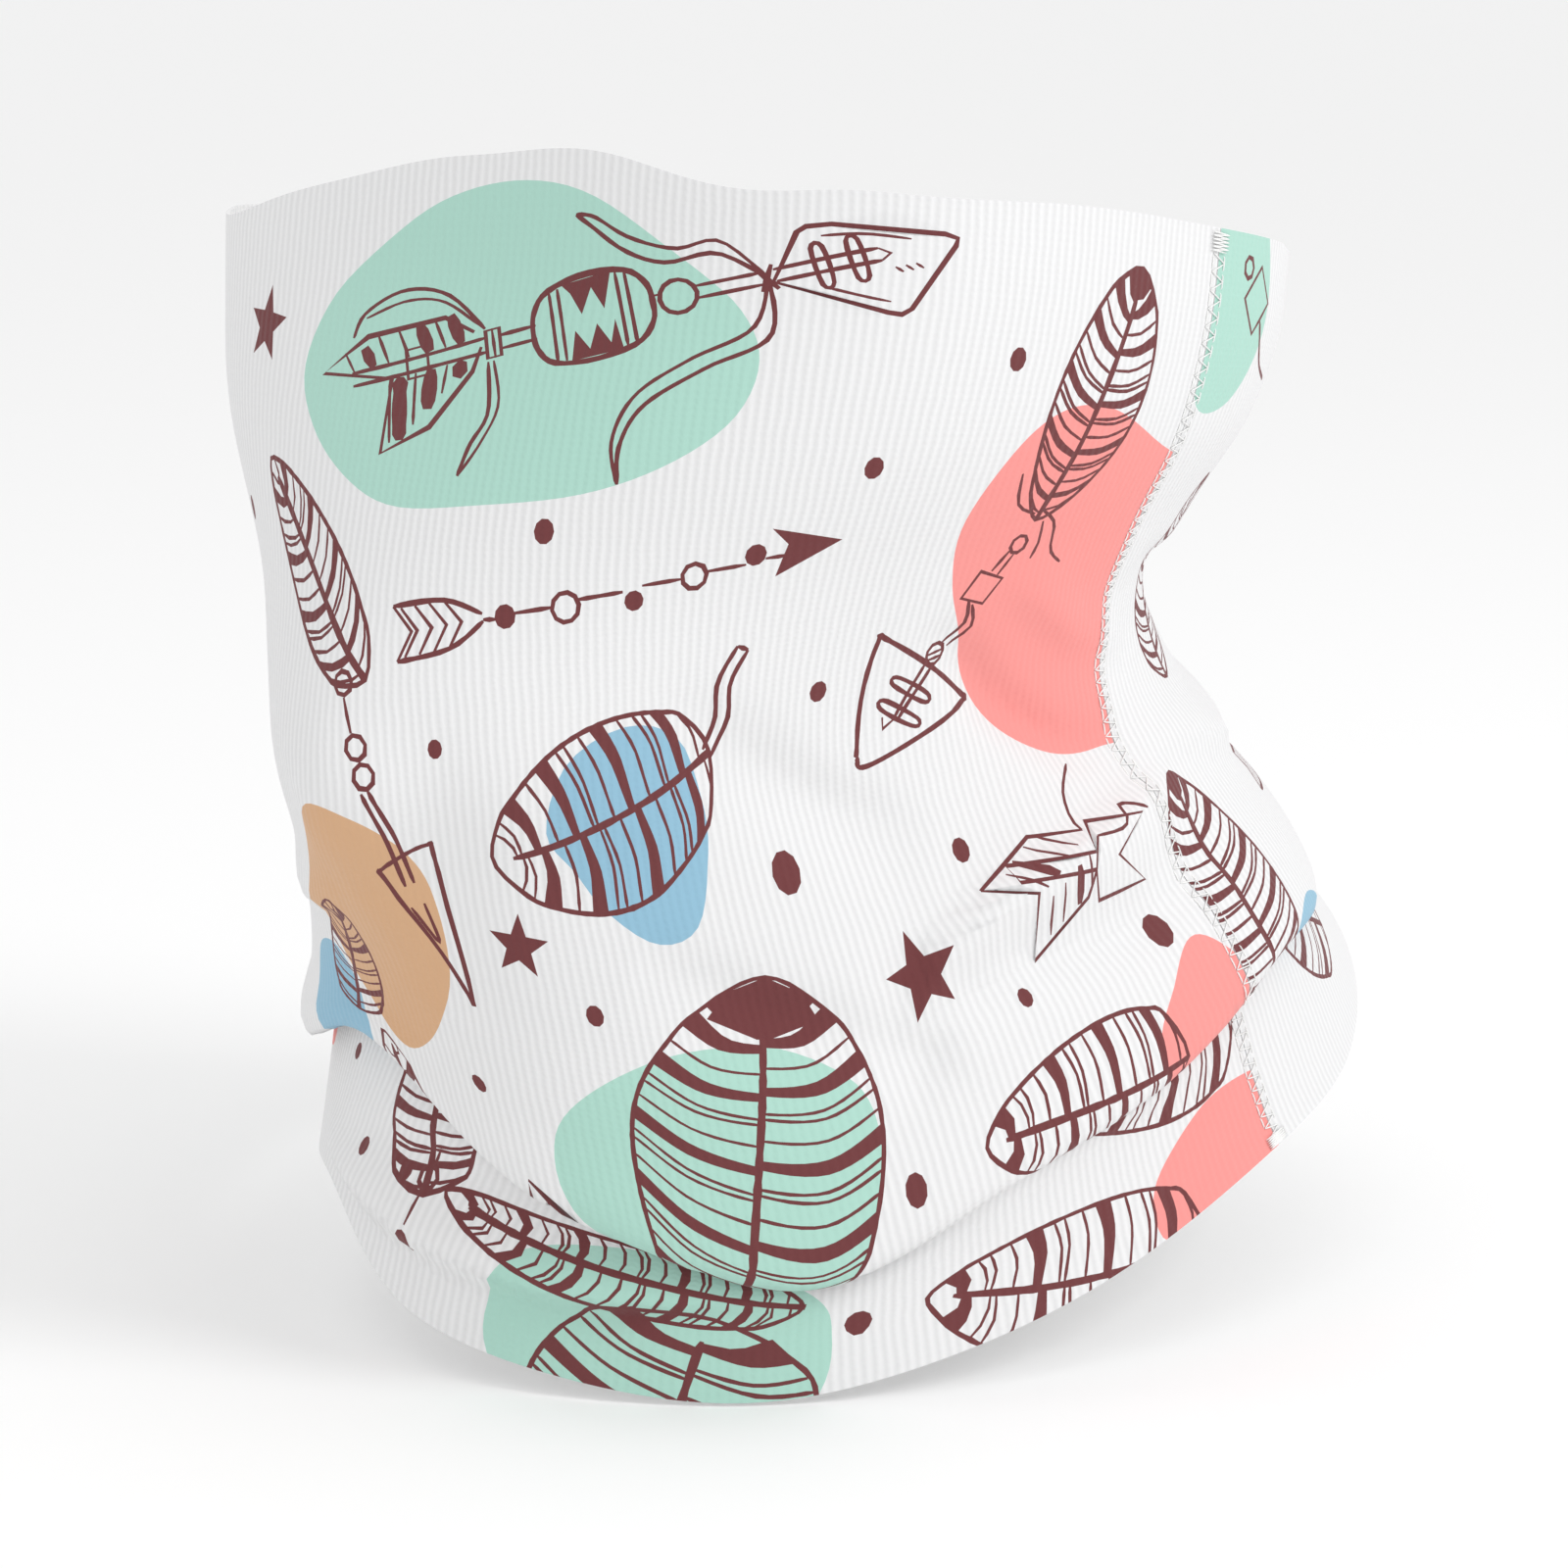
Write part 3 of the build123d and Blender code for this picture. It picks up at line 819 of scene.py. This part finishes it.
cover = zigzag(NEEDLE_GAP / 2, FROM_EDGE, LENGTH - FROM_EDGE, STITCH, ABOVE_CLOTH, CROWN)
looper = zigzag(NEEDLE_GAP / 2, FROM_EDGE, LENGTH - FROM_EDGE, STITCH, -CLOTH - ABOVE_CLOTH, -CROWN)
rim_tack = zigzag(TACK_HALF, TACK_FROM, TACK_TO, TACK_PITCH, TACK_ABOVE, TACK_CROWN)
hem_tack = zigzag(TACK_HALF, LENGTH - TACK_TO, LENGTH - TACK_FROM, TACK_PITCH, TACK_ABOVE, TACK_CROWN)
sew("seam_cover_zigzag", "seam_cover_thread", [cover], ZIGZAG_RADIUS)
sew("seam_looper_zigzag", "seam_looper_thread", [looper], ZIGZAG_RADIUS)
sew("bar_tack_at_the_rim", "top_bar_tack", [rim_tack], NEEDLE_RADIUS)
sew("bar_tack_at_the_hem", "bottom_bar_tack", [hem_tack], NEEDLE_RADIUS)

# ---------------------------------------------------------------------------
# Studio: a plain pale floor, a white room, a soft light high at the wearer's
# left and a weak, larger one above the front.

floor_mesh = bpy.data.meshes.new("floor")
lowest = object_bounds()[0][2] - 0.0005
FLOOR = 30
corners = [(x * FLOOR, y * FLOOR, lowest) for x, y in ((-1, -1), (1, -1), (1, 1), (-1, 1))]
floor_mesh.from_pydata(corners, [], [(0, 1, 2, 3)])
floor = bpy.data.objects.new("floor", floor_mesh)
bpy.context.scene.collection.objects.link(floor)
paint = bpy.data.materials.new("pale_floor")
paint.use_nodes = True
paint.node_tree.nodes["Principled BSDF"].inputs["Base Color"].default_value = (0.95, 0.95, 0.95, 1.0)
paint.node_tree.nodes["Principled BSDF"].inputs["Roughness"].default_value = 0.9
floor_mesh.materials.append(paint)

room = bpy.data.worlds.new("white_room")
room.use_nodes = True
room.node_tree.nodes["Background"].inputs[0].default_value = (1.0, 1.0, 1.0, 1.0)
room.node_tree.nodes["Background"].inputs[1].default_value = 0.93
bpy.context.scene.world = room


def toward(azimuth, elevation, distance):
    """A place seen from the gaiter at that azimuth and elevation."""
    a, e = math.radians(azimuth), math.radians(elevation)
    return Vector((math.sin(a) * math.cos(e), -math.cos(a) * math.cos(e), math.sin(e))) * distance


LAMPS_AWAY = 1.6
for name, azimuth, elevation, size, watts in (("key", 96, 38, 0.6, 7.0), ("fill", 40, 70, 1.5, 0.8)):
    lamp = bpy.data.lights.new(name, "AREA")
    lamp.size = size
    lamp.energy = watts
    lit = bpy.data.objects.new(name, lamp)
    lit.location = toward(azimuth, elevation, LAMPS_AWAY)
    lit.rotation_euler = lit.location.to_track_quat("Z", "Y").to_euler()
    bpy.context.scene.collection.objects.link(lit)

lens = bpy.data.cameras.new("camera")
lens.lens, lens.sensor_width = 108.0, 36.0
lens.clip_start, lens.clip_end = 0.01, 100.0
camera = bpy.data.objects.new("camera", lens)
look_at = Vector((0.00394, 0.00308, -0.006))
look_from = toward(38.0, 10.0, 0.8)
camera.location = look_at + look_from
camera.rotation_euler = look_from.to_track_quat("Z", "Y").to_euler()
bpy.context.scene.collection.objects.link(camera)
bpy.context.scene.camera = camera
bpy.context.scene.view_settings.view_transform = "Standard"
